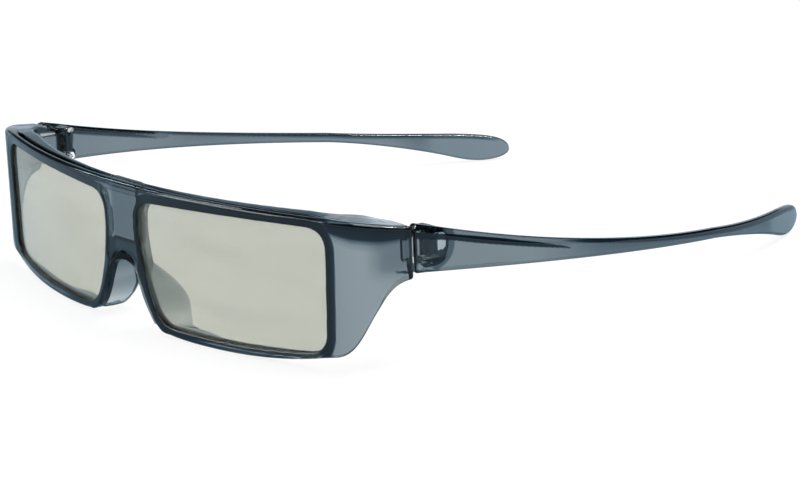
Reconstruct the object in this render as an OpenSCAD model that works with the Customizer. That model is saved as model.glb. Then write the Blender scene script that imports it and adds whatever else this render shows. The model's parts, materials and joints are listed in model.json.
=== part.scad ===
/* [Front] */
// Plan radius of the front face
front_radius = 197; // [180:1:215]
// Half width at which the front face starts to turn back into the end panel
corner_start = 66; // [65:0.5:68]
// Plan radius of the turn into the end panel
corner_radius = 15; // [13:0.5:17]
// Direction of the end panel at the hinge, from the width direction, in degrees
end_angle = 76; // [72:1:80]
// Thickness of the front and end panels
front_wall = 2.6; // [2.3:0.1:3.2]
// Height of the brow above the lens openings
brow_h = 2.2; // [2.1:0.1:3]
// How far the top of the front falls from the brow to the hinge
end_drop = 2.3; // [1.6:0.1:2.6]
// Depth from the front of the bridge to the hinge gap
end_depth = 25.8; // [25:0.1:28]
// Height of the end panel's lower edge at the hinge
end_bottom = 20.4; // [19.8:0.1:21]
// Depth of the brow shelf at the bridge
shelf_depth = 3.7; // [3.3:0.1:4.6]
// Plan radius of the brow shelf's rear edge
shelf_radius = 146; // [136:1:156]
// Thickness of the brow shelf
shelf_wall = 1.4; // [1.2:0.1:1.5]
// Width of the groove along the brow
groove_w = 0.9; // [0.6:0.1:1.1]
// Depth of the groove along the brow
groove_d = 0.8; // [0.4:0.1:1.1]

/* [Rims] */
// Half distance between the openings at the bridge
opening_inner = 6.7; // [6.2:0.1:7.4]
// Half distance between the openings at their lower corners
opening_inner_low = 13.5; // [13:0.1:15]
// Half distance across the openings' outer edges
opening_outer = 64; // [62:0.1:64.6]
// Height of the openings' top edge
opening_top = 32.6; // [32:0.1:33.2]
// Height of the lowest point of the openings
opening_low = 2.1; // [1.8:0.1:2.8]
// Corner rounding of the openings
opening_corner = 5; // [4:0.1:6]
// Height of the bridge's underside above the table
bridge_low = 17.9; // [17:0.1:19]
// Width of the rim beside the nose
rim_nose = 1.9; // [1.8:0.1:2.3]
// Half width of the thick middle of the bridge
bridge_half = 4.8; // [4.4:0.1:4.9]

/* [Lens seat] */
// Thickness of the lip in front of the lens
lens_lip = 0.9; // [0.7:0.05:1.1]
// Width of the lip that covers the edge of the lens
seat_w = 1.3; // [1:0.1:1.5]
// Height of the lip along the top edge of the lens
seat_top = 0.6; // [0.5:0.05:0.8]
// Room round the edge of the lens
lens_room = 0.15; // [0.1:0.05:0.3]
// Thickness of the adhesive ring
bond_t = 0.15; // [0.1:0.05:0.2]
// Thickness of the retarder film
retarder_t = 0.15; // [0.1:0.05:0.25]
// Thickness of the polarising film
polariser_t = 0.2; // [0.15:0.05:0.3]
// Thickness of the carrier sheet
carrier_t = 0.45; // [0.3:0.05:0.6]

/* [Nose pad] */
// Wall of the saddle and its wings
nose_wall = 0.9; // [0.8:0.1:1.2]
// Thickness of the saddle under the bridge
nose_crown = 2.1; // [1.6:0.1:2.6]
// How far the saddle's front edge lies behind the outer face
nose_inset = 0.5; // [0.3:0.1:1]
// How far the saddle reaches behind the front at the top
nose_depth = 2.4; // [1.6:0.1:3]
// How far the wings reach behind the front at their deepest
wing_depth = 8.6; // [6:0.1:10]
// How far the wings spread sideways at the back
wing_flare = 1.2; // [0.5:0.1:3]
// How far the wings run outward below the rim beside the nose
wing_tail = 2.6; // [2:0.1:3.4]

/* [Temples] */
// Plan radius of the temple's outer face
temple_radius = 193; // [182:1:210]
// Thickness of the temple half way along
temple_wall = 3; // [2.6:0.1:3.6]
// How much thinner the tip is than the hinge end
temple_taper = 1.6; // [0.5:0.1:2]
// Depth from the front of the bridge to the end of the tips
overall_depth = 170; // [162:1:178]
// How far the temple's top stands above the front at the hinge
head_step = 0.5; // [0:0.1:1]
// Height of the temple's lower edge at the hinge
head_bottom = 21.7; // [21.4:0.1:22.2]
// Distance from the hinge gap to the slimmest place
waist_run = 94; // [86:1:100]
// Height of the temple's middle at the slimmest place
waist_mid = 11.7; // [10.8:0.1:13]
// Height of the temple's section at the slimmest place
waist_h = 2.6; // [2.3:0.1:3.4]
// Length of the flared tip
tip_run = 14.5; // [13:0.5:17]
// Height of the tip's section where it flares
tip_h = 6.8; // [5.8:0.1:7.6]

/* [Hinge] */
// Gap between the end panel and the temple
hinge_gap = 0.5; // [0.4:0.1:0.8]
// Distance of the hinge axis behind the end panel
axis_back = 6.8; // [6:0.1:7.5]
// Distance of the hinge axis inside the end panel's outer face
axis_in = 3.6; // [3.4:0.1:4]
// Radius of the knuckle
knuckle_r = 2.2; // [2:0.1:2.3]
// Height of the knuckle
knuckle_h = 4.6; // [4:0.1:4.8]
// Height of the knuckle's underside above the table
knuckle_low = 24.6; // [24.4:0.1:24.8]
// Width of the tongue that carries the knuckle
tongue_w = 2.8; // [2.2:0.1:3]
// Free space round and above the knuckle
hinge_room = 0.35; // [0.3:0.05:0.45]
// Radius of the temple's cheeks round the pin
cheek_r = 2.8; // [2.5:0.1:3]
// Diameter of the hinge pin
pin_d = 1.6; // [1.2:0.1:1.8]
// Radial running clearance of the pin in the knuckle
pin_room = 0.05; // [0.03:0.01:0.08]
// How far the pin stands in each cheek
pin_hold = 1.3; // [1:0.1:1.4]
// Length of the block that carries the tongue
block_run = 5; // [4:0.1:7]
// Width of the block that carries the tongue
block_w = 6.4; // [5.8:0.1:7]

/* [Hidden] */
$fn = 96;

// Smoky see-through plastic, pale lens and pin colours
smoke = "#77858f";
nose_tint = "#8793a0";
lens_tint = "#c3c7bc";
steel = "#b9bec2";

// Reach of cutting shapes past what they cut
past = 60;

// Height of the hinge block below the knuckle
block_sill = 1.6;

// Free space between the saddle and the cut-out of the front that it lines
nose_room = 0.2;

// How far above its underside the thick middle of the bridge begins
bridge_sill = 2.6;

// Heights that follow from the openings
front_height = opening_top + brow_h;
end_top = front_height - end_drop;
head_top = end_top + head_step;
seat_height = opening_top + seat_top;

// Points of a cubic curve, without its last point
steps = 6;
function bow(a, b, c, d, n = steps) = [
    for (i = [0 : n - 1])
        let (t = i / n, s = 1 - t)
        s * s * s * a + 3 * s * s * t * b + 3 * s * t * t * c + t * t * t * d
];

// Rounded corner from a to b about the sharp corner c
function turn(a, c, b) = bow(a, (a + 2 * c) / 3, (b + 2 * c) / 3, b);

// Closed outline moved outward by d, for points listed clockwise
function grown(points, d) = [
    for (i = [0 : len(points) - 1])
        let (
            n = len(points),
            along = points[(i + 1) % n] - points[(i + n - 1) % n],
            out = [-along[1], along[0]] / norm(along)
        )
        points[i] + d * out
];

// Plan of the outer face: front arc, turn and straight end panel
corner_angle = asin(corner_start / front_radius);
corner_y = front_radius - front_radius * cos(corner_angle);
turn_centre = [
    corner_start - corner_radius * sin(corner_angle),
    corner_y + corner_radius * cos(corner_angle)
];
turn_end = turn_centre + corner_radius * [sin(end_angle), -cos(end_angle)];
end_slope = cos(end_angle) / sin(end_angle);
end_x = turn_end[0] + (end_depth - turn_end[1]) * end_slope;

// Front face depth at half width x
function face_y(x, inset = 0) = front_radius - sqrt(pow(front_radius - inset, 2) - x * x);

// Rear edge of the brow shelf at half width x
function shelf_y(x) = shelf_depth + shelf_radius - sqrt(shelf_radius * shelf_radius - x * x);

// Area behind the outer face, moved in by inset
module behind_face(inset) {
    rear = end_depth + past;
    reach = front_radius + past;
    wedge = [
        [0, front_radius],
        reach * [-tan(corner_angle), -1] + [0, front_radius],
        reach * [tan(corner_angle), -1] + [0, front_radius]
    ];
    inner_end = turn_end + inset * [-sin(end_angle), cos(end_angle)];
    tail = inner_end + (rear - inner_end[1]) * [end_slope, 1];
    right = [turn_centre, inner_end, tail];
    intersection() {
        translate([0, front_radius]) circle(front_radius - inset, $fn = 360);
        polygon(wedge);
    }
    for (side = [-1, 1])
        translate([side * turn_centre[0], turn_centre[1]]) circle(corner_radius - inset);
    polygon(concat(right, [for (i = [2 : -1 : 0]) [-right[i][0], right[i][1]]]));
}

// Wall that follows the outer face between two depths
module face_wall(from, to, height) {
    linear_extrude(height) difference() {
        behind_face(from);
        behind_face(to);
    }
}

// Shape drawn in width and height, pushed through the depth of the front
module through_depth() {
    translate([0, end_depth + past, 0]) rotate([90, 0, 0]) linear_extrude(end_depth + 2 * past) children();
}

// Shape drawn in depth and height, pushed through the width
module through_width() {
    rotate([90, 0, 90]) linear_extrude(4 * past, center = true) children();
}

// Outline of the left opening, clockwise as seen from the front
low_x = (opening_inner_low + opening_outer) / 2;
inner_top = [opening_inner, opening_top - 1.3];
outer_top = [opening_outer, opening_top - 0.1];
outer_low = [opening_outer - 0.5, opening_low + 1.9];
inner_low = [opening_inner_low, opening_low + 0.4];
top_start = inner_top + [opening_corner, 0.5];
top_end = outer_top + [-opening_corner, 0.1];
low_start = outer_low + [-opening_corner, -0.5];
low_end = inner_low + [opening_corner, -0.2];
nose_start = inner_low + [-0.45, 0.75] * opening_corner;
nose_end = inner_top + [-0.2, -opening_corner];
opening = concat(
    bow(top_start, top_start + [12, 0.7], top_end + [-14, 0.2], top_end),
    turn(top_end, outer_top, outer_top + [0, -opening_corner]),
    [outer_top + [0, -opening_corner]],
    turn(outer_low + [0, opening_corner], outer_low, low_start),
    bow(low_start, [low_x + 8, opening_low], [low_x - 8, opening_low - 0.2], low_end),
    turn(low_end, inner_low, nose_start),
    bow(nose_start, nose_start + [-2.6, 4.6], nose_end + [-0.5, -6], nose_end),
    turn(nose_end, inner_top, top_start)
);

// Lower outline of the front from the bridge outward, left half
rim_x = opening_inner - rim_nose + 0.8;
rim_low_x = opening_inner_low - rim_nose - 1.2;
toe_z = 4.6;
heel_x = corner_start - 1;
heel_z = 3.3;
low_edge = concat(
    bow([0, bridge_low], [rim_x - 2, bridge_low], [rim_x - 0.6, bridge_low - 1.8], [rim_x, bridge_low - 4.6]),
    bow([rim_x, bridge_low - 4.6], [rim_x + 0.9, bridge_low - 8.2], [rim_low_x - 2.2, toe_z + 3], [rim_low_x, toe_z]),
    bow([rim_low_x, toe_z], [rim_low_x + 2.6, 1], [rim_low_x + 9, 0], [low_x - 8, 0]),
    bow([low_x - 8, 0], [low_x + 5, 0], [low_x + 16, 0.8], [heel_x, heel_z]),
    [[heel_x, heel_z]]
);

// Lower edge of the end panel in depth and height
sweep = [corner_y + 6.2, end_bottom - 6.2];
side_edge = concat(
    [[corner_y - 6.3, 0], [corner_y - 2.9, heel_z - 1.8]],
    bow([corner_y, heel_z], [corner_y + 2.4, heel_z + 1.7], sweep - [2.4, 4], sweep),
    bow(sweep, sweep + [2, 3.4], [end_depth - 4.6, end_bottom - 0.2], [end_depth, end_bottom]),
    [[end_depth + past, end_bottom]]
);

// Top of the front in depth and height
brow_end = corner_y - 3;
top_edge = concat(
    [[-past, front_height]],
    bow(
        [brow_end, front_height],
        [brow_end + 6, front_height],
        [end_depth - 6, end_top + 0.9],
        [end_depth, end_top]
    ),
    [[end_depth + past, end_top]]
);

// Plan of the brow shelf's rear edge and the inside of the end pieces, left half
bay_x = end_x - block_w - front_wall;
bay_turn = 12;
bay_flare = 2;
bay_start = bay_x - bay_turn;
bay_edge = concat(
    [for (i = [0 : 9]) [bay_start * i / 9, shelf_y(bay_start * i / 9)]],
    turn(
        [bay_start, shelf_y(bay_start)],
        [bay_x - 4, shelf_y(bay_x - 4) - 1],
        [bay_x, shelf_y(bay_x) + 4]
    ),
    [[bay_x + bay_flare, end_depth], [bay_x + bay_flare, end_depth + past]]
);

// Hinge axis of the left temple
axis_x = end_x - axis_in;
axis_y = end_depth + axis_back;

module mirrored() {
    children();
    mirror([1, 0, 0]) children();
}

// Puts the model's origin in the middle of its footprint
module placed() {
    translate([0, -overall_depth / 2, 0]) children();
}

module bay_area() {
    polygon(concat(bay_edge, [for (i = [len(bay_edge) - 1 : -1 : 1]) [-bay_edge[i][0], bay_edge[i][1]]]));
}

// Below the brow shelf: open behind the wall, except at the hinge blocks and the bridge
module front_hollow() {
    block = [end_x - block_w, end_depth - block_run, knuckle_low - block_sill];
    difference() {
        intersection() {
            translate([0, 0, -past]) linear_extrude(front_height + past) behind_face(front_wall);
            through_width() polygon(concat(
                [[-past, -past]],
                [for (p = top_edge) p - [0, shelf_wall]],
                [[end_depth + past, -past]]
            ));
        }
        mirrored() translate(block) cube(past);
        translate([-bridge_half, -past, bridge_low + bridge_sill]) cube([2 * bridge_half, 2 * past, past]);
    }
}

module knuckle() {
    translate([axis_x, axis_y, knuckle_low]) cylinder(r = knuckle_r, h = knuckle_h);
    translate([axis_x - tongue_w / 2, end_depth - block_run / 2, knuckle_low])
        cube([tongue_w, axis_back + block_run / 2, knuckle_h]);
}

module front_body() {
    difference() {
        translate([0, 0, -1]) linear_extrude(front_height + 2) behind_face(0);
        front_hollow();
        translate([0, 0, -past]) linear_extrude(front_height + 2 * past) bay_area();
        through_depth() polygon(concat(
            low_edge,
            [[heel_x, -past], [-heel_x, -past]],
            [for (i = [len(low_edge) - 1 : -1 : 1]) [-low_edge[i][0], low_edge[i][1]]]
        ));
        through_width() polygon(concat(side_edge, [[end_depth + past, -past], [-past, -past]]));
        through_width() polygon(concat(
            top_edge,
            [[end_depth + past, front_height + past], [-past, front_height + past]]
        ));
        translate([-2 * past, end_depth, -past]) cube([4 * past, front_radius, 3 * past]);
    }
}

groove_inset = lens_lip + 0.7;
groove_start = opening_inner + 1.5;
groove_end = corner_start - 2.5;

module brow_groove() {
    translate([0, 0, front_height - groove_d]) intersection() {
        face_wall(groove_inset, groove_inset + groove_w, past);
        translate([groove_start, -past, 0]) cube([groove_end - groove_start, 2 * past, past]);
    }
}

module lens_pocket() {
    intersection() {
        through_depth() polygon(grown(opening, seat_w));
        linear_extrude(seat_height) behind_face(lens_lip);
    }
}

module front_frame() {
    color(smoke) placed() difference() {
        union() {
            front_body();
            mirrored() knuckle();
        }
        mirrored() {
            through_depth() polygon(opening);
            lens_pocket();
            brow_groove();
            translate([axis_x, axis_y, 0]) cylinder(d = pin_d + 2 * pin_room, h = front_height);
        }
    }
}

// Saddle: rings of points along the arch of the cut-out, from the front edge of the pad to its back
arch_half = [for (p = low_edge) if (p[0] < rim_low_x + wing_tail) p];
arch_outer = concat([for (i = [len(arch_half) - 1 : -1 : 1]) [-arch_half[i][0], arch_half[i][1]]], arch_half);
rings = 5;

// Height below which the wings have their full depth
wing_z = toe_z + 1.9;

// Share of its depth that a wing loses at its lower corner
wing_round = 0.75;

// Share of the way from the bridge down to the full depth of the wings
function wing_down(p) = min(1, (bridge_low - p[1]) / (bridge_low - wing_z));

// Share of the wings' full depth at a point of the arch
function wing_share(p) =
    let (
        down = wing_down(p),
        out = max(0, abs(p[0]) - rim_low_x) / wing_tail
    )
    down * down * (3 - 2 * down) * (1 - wing_round * out * out);

// Thickness of the saddle at a point of the arch
function saddle_wall(p) = nose_wall + (nose_crown - nose_wall) * pow(1 - wing_down(p), 2);

function saddle_point(p, out, layer, v) =
    let (
        share = wing_share(p),
        inward = nose_room + (layer == 0 ? saddle_wall(p) : 0),
        x = p[0] - out[0] * inward,
        depth = front_wall - nose_inset + nose_depth + (wing_depth - nose_depth) * share
    )
    [
        x + sign(p[0]) * wing_flare * share * v * v,
        face_y(x, nose_inset) + depth * v,
        p[1] - out[1] * inward
    ];

module nose_pad() {
    n = len(arch_outer);
    away = [
        for (i = [0 : n - 1])
            let (along = arch_outer[min(i + 1, n - 1)] - arch_outer[max(i - 1, 0)])
            [-along[1], along[0]] / norm(along)
    ];
    points = [
        for (k = [0 : rings])
            for (layer = [0, 1])
                for (i = [0 : n - 1])
                    saddle_point(arch_outer[i], away[i], layer, k / rings)
    ];
    function at(k, layer, i) = (k * 2 + layer) * n + i;
    faces = concat(
        [for (k = [0 : rings - 1]) for (i = [0 : n - 2])
            each [
                [at(k, 0, i), at(k, 0, i + 1), at(k + 1, 0, i + 1)],
                [at(k, 0, i), at(k + 1, 0, i + 1), at(k + 1, 0, i)],
                [at(k, 1, i + 1), at(k, 1, i), at(k + 1, 1, i)],
                [at(k, 1, i + 1), at(k + 1, 1, i), at(k + 1, 1, i + 1)]
            ]],
        [for (k = [0, rings]) for (i = [0 : n - 2])
            each k == 0
                ? [[at(k, 0, i + 1), at(k, 0, i), at(k, 1, i)], [at(k, 0, i + 1), at(k, 1, i), at(k, 1, i + 1)]]
                : [[at(k, 0, i), at(k, 0, i + 1), at(k, 1, i + 1)], [at(k, 0, i), at(k, 1, i + 1), at(k, 1, i)]]],
        [for (k = [0 : rings - 1])
            each [
                [at(k, 0, 0), at(k + 1, 0, 0), at(k + 1, 1, 0)],
                [at(k, 0, 0), at(k + 1, 1, 0), at(k, 1, 0)],
                [at(k, 0, n - 1), at(k + 1, 1, n - 1), at(k + 1, 0, n - 1)],
                [at(k, 0, n - 1), at(k, 1, n - 1), at(k + 1, 1, n - 1)]
            ]]
    );
    color(nose_tint) placed() polyhedron(points, faces);
}

// One layer of the left lens between two depths behind the outer face
module lens_layer(from, to) {
    intersection() {
        through_depth() polygon(grown(opening, seat_w - lens_room));
        face_wall(from, to, seat_height - lens_room);
    }
}

bond_back = lens_lip + bond_t;
retarder_back = bond_back + retarder_t;
polariser_back = retarder_back + polariser_t;
carrier_back = polariser_back + carrier_t;

module lens_bond() {
    difference() {
        lens_layer(lens_lip, bond_back);
        through_depth() polygon(grown(opening, lens_room));
    }
}

module left_lens_bond() { color("white") placed() lens_bond(); }
module right_lens_bond() { color("white") placed() mirror([1, 0, 0]) lens_bond(); }
module left_lens_retarder() { color(lens_tint) placed() lens_layer(bond_back, retarder_back); }
module right_lens_retarder() { color(lens_tint) placed() mirror([1, 0, 0]) lens_layer(bond_back, retarder_back); }
module left_lens_polariser() { color("dimgray") placed() lens_layer(retarder_back, polariser_back); }
module right_lens_polariser() { color("dimgray") placed() mirror([1, 0, 0]) lens_layer(retarder_back, polariser_back); }
module left_lens_carrier() { color(lens_tint) placed() lens_layer(polariser_back, carrier_back); }
module right_lens_carrier() { color(lens_tint) placed() mirror([1, 0, 0]) lens_layer(polariser_back, carrier_back); }

// Temple: plan arc that leaves the end panel without a kink
temple_start = end_depth + hinge_gap;
temple_centre = [end_x, end_depth] + temple_radius * [-sin(end_angle), cos(end_angle)];
waist_y = temple_start + waist_run;
tip_y = overall_depth - tip_run;
waist_top = waist_mid + waist_h / 2;
waist_low = waist_mid - waist_h / 2;
tip_low = 1.6;
tip_top = tip_low + tip_h;
tip_nose = 2.8;
tip_sole = overall_depth - 6.5;

// Side outline of the temple, clockwise from the top of the hinge head
temple_outline = concat(
    bow(
        [temple_start, head_top],
        [temple_start + waist_run * 0.33, head_top - 9.7],
        [waist_y - waist_run * 0.33, waist_top + 4.3],
        [waist_y, waist_top], 10
    ),
    bow([waist_y, waist_top], [waist_y + 12, waist_top - 2.1], [tip_y - 12, tip_top + 1.2], [tip_y, tip_top]),
    bow([tip_y, tip_top], [tip_y + 8, tip_top - 1], [overall_depth, tip_top - 1.8], [overall_depth, tip_nose]),
    bow([overall_depth, tip_nose], [overall_depth, 0.9], [tip_sole + 3.5, 0], [tip_sole, 0]),
    bow([tip_sole, 0], [tip_sole - 3, 0], [tip_y + 2.4, tip_low - 0.8], [tip_y, tip_low]),
    bow([tip_y, tip_low], [tip_y - 9, tip_low + 3.2], [waist_y + 12, waist_low - 2], [waist_y, waist_low]),
    bow(
        [waist_y, waist_low],
        [waist_y - waist_run * 0.33, waist_low + 4.3],
        [temple_start + waist_run * 0.33, head_bottom - 2.8],
        [temple_start, head_bottom], 10
    ),
    [[temple_start, head_bottom]]
);

cheek_low = knuckle_low - hinge_room;
cheek_high = knuckle_low + knuckle_h + hinge_room;
head_run = axis_back + cheek_r + 0.6;

// Plan of the temple: plate between two arcs, and the head that carries the cheeks
module temple_plan() {
    difference() {
        translate(temple_centre) circle(temple_radius, $fn = 360);
        translate(temple_centre + [0, temple_taper]) circle(temple_radius - temple_wall, $fn = 360);
        translate([-2 * temple_radius, temple_start - past - temple_radius])
            square([4 * temple_radius, past + temple_radius]);
        translate([-4 * temple_radius, 0]) square([4 * temple_radius, 4 * temple_radius]);
    }
}

module head_plan() {
    intersection() {
        translate(temple_centre) circle(temple_radius, $fn = 360);
        union() {
            translate([axis_x, axis_y]) circle(cheek_r);
            translate([axis_x, temple_start]) square([past, head_run - hinge_gap]);
            translate([axis_x - cheek_r, axis_y]) square([past, head_run - axis_back]);
        }
    }
}

module temple_body() {
    intersection() {
        through_width() polygon(temple_outline);
        union() {
            linear_extrude(past) temple_plan();
            linear_extrude(past) head_plan();
        }
    }
}

module hinge_pocket() {
    pocket_r = knuckle_r + hinge_room;
    half = tongue_w / 2 + hinge_room;
    translate([axis_x, axis_y, cheek_low]) {
        cylinder(r = pocket_r, h = cheek_high - cheek_low);
        translate([-past, -past, 0]) cube([past + half, past, cheek_high - cheek_low]);
        translate([-past, 0, 0]) cube([past, pocket_r, cheek_high - cheek_low]);
    }
}

pin_low = cheek_low - pin_hold;
pin_high = cheek_high + pin_hold;

module hinge_pin() {
    translate([axis_x, axis_y, pin_low]) cylinder(d = pin_d, h = pin_high - pin_low);
}

module temple() {
    difference() {
        temple_body();
        hinge_pocket();
        hinge_pin();
    }
}

module left_temple() { color(smoke) placed() temple(); }
module right_temple() { color(smoke) placed() mirror([1, 0, 0]) temple(); }
module left_hinge_pin() { color(steel) placed() hinge_pin(); }
module right_hinge_pin() { color(steel) placed() mirror([1, 0, 0]) hinge_pin(); }

front_frame();
nose_pad();
left_lens_retarder();
right_lens_retarder();
left_lens_polariser();
right_lens_polariser();
left_lens_carrier();
right_lens_carrier();
left_lens_bond();
right_lens_bond();
left_temple();
right_temple();
left_hinge_pin();
right_hinge_pin();
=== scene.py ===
import json
import math
from functools import reduce
import bpy
import bmesh
import numpy as np
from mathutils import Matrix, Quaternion, Vector


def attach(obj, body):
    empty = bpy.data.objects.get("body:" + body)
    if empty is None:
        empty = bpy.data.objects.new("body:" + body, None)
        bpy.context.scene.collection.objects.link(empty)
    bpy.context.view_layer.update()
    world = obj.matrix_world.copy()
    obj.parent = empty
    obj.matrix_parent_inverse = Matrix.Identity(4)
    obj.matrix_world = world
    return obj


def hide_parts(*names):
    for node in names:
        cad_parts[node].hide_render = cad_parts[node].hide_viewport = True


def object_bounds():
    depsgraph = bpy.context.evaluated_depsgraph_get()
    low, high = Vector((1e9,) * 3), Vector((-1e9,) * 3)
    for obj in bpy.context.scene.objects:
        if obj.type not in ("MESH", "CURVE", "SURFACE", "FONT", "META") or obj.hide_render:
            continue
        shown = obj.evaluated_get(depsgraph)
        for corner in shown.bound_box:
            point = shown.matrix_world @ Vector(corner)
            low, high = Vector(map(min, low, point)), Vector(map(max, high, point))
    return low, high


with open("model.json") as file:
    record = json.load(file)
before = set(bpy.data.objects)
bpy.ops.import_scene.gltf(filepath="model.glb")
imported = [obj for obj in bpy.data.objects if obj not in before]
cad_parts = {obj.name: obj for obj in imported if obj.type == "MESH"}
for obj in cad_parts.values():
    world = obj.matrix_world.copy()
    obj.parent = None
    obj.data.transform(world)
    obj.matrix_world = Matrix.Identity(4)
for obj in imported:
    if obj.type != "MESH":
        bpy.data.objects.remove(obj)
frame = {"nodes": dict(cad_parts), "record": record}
cad_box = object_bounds()


# FRONT FRAME
# One moulding of smoky see-through plastic: a bowed brow with a grooved top, two bevelled
# lens rims, a bridge panel, and end pieces that turn back to carry the hinge knuckles.
MM = 0.001
half_depth = round(cad_box[1][1] / MM, 2)
front_height = round(cad_box[1][2] / MM, 2)
front_radius = 197.0
front_wall = 2.6
corner_start = 66.0
corner_radius = 15.0
end_angle = math.radians(76)
end_depth = 25.8
end_top = 32.5
end_bottom = 20.4
corner_angle = math.asin(corner_start / front_radius)
corner_y = front_radius - front_radius * math.cos(corner_angle)
turn_centre = np.array([
    corner_start - corner_radius * math.sin(corner_angle),
    corner_y + corner_radius * math.cos(corner_angle),
])
turn_end = turn_centre + corner_radius * np.array([math.sin(end_angle), -math.cos(end_angle)])
turn_from = front_radius * corner_angle
turn_to = turn_from + corner_radius * (end_angle - corner_angle)


def on_front(s, d):
    """Width and depth of the point that lies s along the outer face and d behind it."""
    a = np.abs(s)
    turn = corner_angle + (a - turn_from) / corner_radius
    angle = np.where(a < turn_from, a / front_radius, np.where(a < turn_to, turn, end_angle))
    sin, cos = np.sin(angle), np.cos(angle)
    past = np.maximum(a - turn_to, 0)
    on_arc = a < turn_from
    x = np.where(on_arc, front_radius * sin, turn_centre[0] + corner_radius * sin)
    y = np.where(on_arc, front_radius - front_radius * cos, turn_centre[1] - corner_radius * cos)
    x = x + past * math.cos(end_angle) - d * sin
    y = y + past * math.sin(end_angle) + d * cos
    return np.where(s < 0, -x, x), y


def front_place(x, y):
    """How far along the outer face and how far behind it a plan point lies, for x >= 0."""
    from_front = np.arctan2(x, front_radius - y)
    from_turn = np.arctan2(x - turn_centre[0], turn_centre[1] - y)
    dx, dy = x - turn_end[0], y - turn_end[1]
    past = dx * math.cos(end_angle) + dy * math.sin(end_angle)
    on_arc, on_turn = from_front < corner_angle, from_turn < end_angle
    s = np.where(on_arc, front_radius * from_front, np.where(
        on_turn, turn_from + corner_radius * (from_turn - corner_angle), turn_to + past))
    d = np.where(on_arc, front_radius - np.hypot(x, front_radius - y), np.where(
        on_turn, corner_radius - np.hypot(x - turn_centre[0], turn_centre[1] - y),
        dy * math.cos(end_angle) - dx * math.sin(end_angle)))
    return s, d


def along_depth(y):
    """Place along the outer face at which it has reached depth y."""
    y = np.asarray(y, float)
    arc = front_radius * np.arccos(np.clip(1 - y / front_radius, -1, 1))
    turn = np.arccos(np.clip((turn_centre[1] - y) / corner_radius, -1, 1))
    turn = turn_from + corner_radius * (turn - corner_angle)
    past = turn_to + (y - turn_end[1]) / math.sin(end_angle)
    return np.where(y < corner_y, arc, np.where(y < turn_end[1], turn, past))


def along_width(x):
    """Place along the outer face at which it has reached width x."""
    return front_radius * np.arcsin(np.asarray(x, float) / front_radius)


def bow(a, b, c, d, n=12):
    """Points of a cubic curve, without its last point."""
    t = np.arange(n)[:, None] / n
    s = 1 - t
    a, b, c, d = (np.array(p, float) for p in (a, b, c, d))
    return s**3 * a + 3 * s * s * t * b + 3 * s * t * t * c + t**3 * d


# Outline of the left lens opening in width and height, then along the face
opening = np.concatenate([
    bow((11.7, 31.3), (23.7, 31.95), (45, 32.55), (59, 32.5)),
    bow((59, 32.5), (62.3, 32.43), (64, 30.83), (64, 27.5)),
    bow((64, 27.5), (63.9, 21), (63.7, 15), (63.5, 9)),
    bow((63.5, 9), (63.5, 5.67), (61.8, 3.8), (58.5, 3.5)),
    bow((58.5, 3.5), (46.75, 2.1), (30.75, 1.9), (18.5, 2.3)),
    bow((18.5, 2.3), (15.17, 2.43), (12.75, 3.75), (11.25, 6.25)),
    bow((11.25, 6.25), (8.65, 10.85), (6, 20.3), (6.5, 26.3)),
    bow((6.5, 26.3), (6.63, 29.23), (8.37, 30.97), (11.7, 31.3)),
])
opening = np.stack([along_width(opening[:, 0]), opening[:, 1]], 1)

# Half outline of the front: top from the bridge to the end, lower edge back to the bridge
brow_end = corner_y - 3
end_run = 20
top_edge = np.concatenate([
    bow((brow_end, front_height), (brow_end + 6, front_height),
        (end_depth - 6, end_top + 0.9), (end_depth, end_top)),
    [[end_depth, end_top]],
])
sweep = np.array([corner_y + 6.2, end_bottom - 6.2])
side_edge = np.concatenate([
    bow((corner_y, 3.3), (corner_y + 2.4, 5), sweep - [2.4, 4], sweep),
    bow(sweep, sweep + [2, 3.4], (end_depth - 4.6, end_bottom - 0.2), (end_depth, end_bottom)),
    [[end_depth, end_bottom]],
])
nose_edge = np.concatenate([
    bow((0, 17.9), (2.2, 17.9), (4.2, 17), (5.3, 14.8)),
    bow((5.3, 14.8), (6.1, 13.2), (7, 11.4), (7.7, 9.8)),
    bow((7.7, 9.8), (8.3, 8.4), (9.2, 6.5), (10.2, 4.9)),
])
low_edge = np.concatenate([
    nose_edge,
    bow((10.2, 4.9), (10.9, 3.5), (12.3, 1.6), (14.5, 0.85)),
    bow((14.5, 0.85), (17.5, 0.2), (23, 0), (30.75, 0)),
    bow((30.75, 0), (43.75, 0), (54.75, 0.8), (65, 3.3)),
])
top_line = np.stack([along_depth(top_edge[:, 0]), top_edge[:, 1]], 1)
brow_line = np.concatenate([[[0, front_height]], top_line])
side_line = np.stack([along_depth(side_edge[:, 0]), side_edge[:, 1]], 1)
low_line = np.stack([along_width(low_edge[:, 0]), low_edge[:, 1]], 1)
end_place = brow_line[-1, 0] + end_run
half_outline = np.concatenate([
    brow_line, [[end_place, end_top], [end_place, end_bottom]], side_line[::-1], low_line[::-1],
])
silhouette = np.concatenate([half_outline, (half_outline * [-1, 1])[-2:0:-1]])

# Plan of the brow shelf's rear edge, then along the face
bay_x, bay_start, bay_bend, bay_step = 67.5, 55.5, 63.5, 4
shelf_depth, shelf_radius, shelf_root = 3.7, 146.0, 1.3


def shelf_y(x):
    """Depth of the shelf's bowed rear edge at width x."""
    return shelf_depth + shelf_radius - np.sqrt(shelf_radius**2 - x * x)


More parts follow.
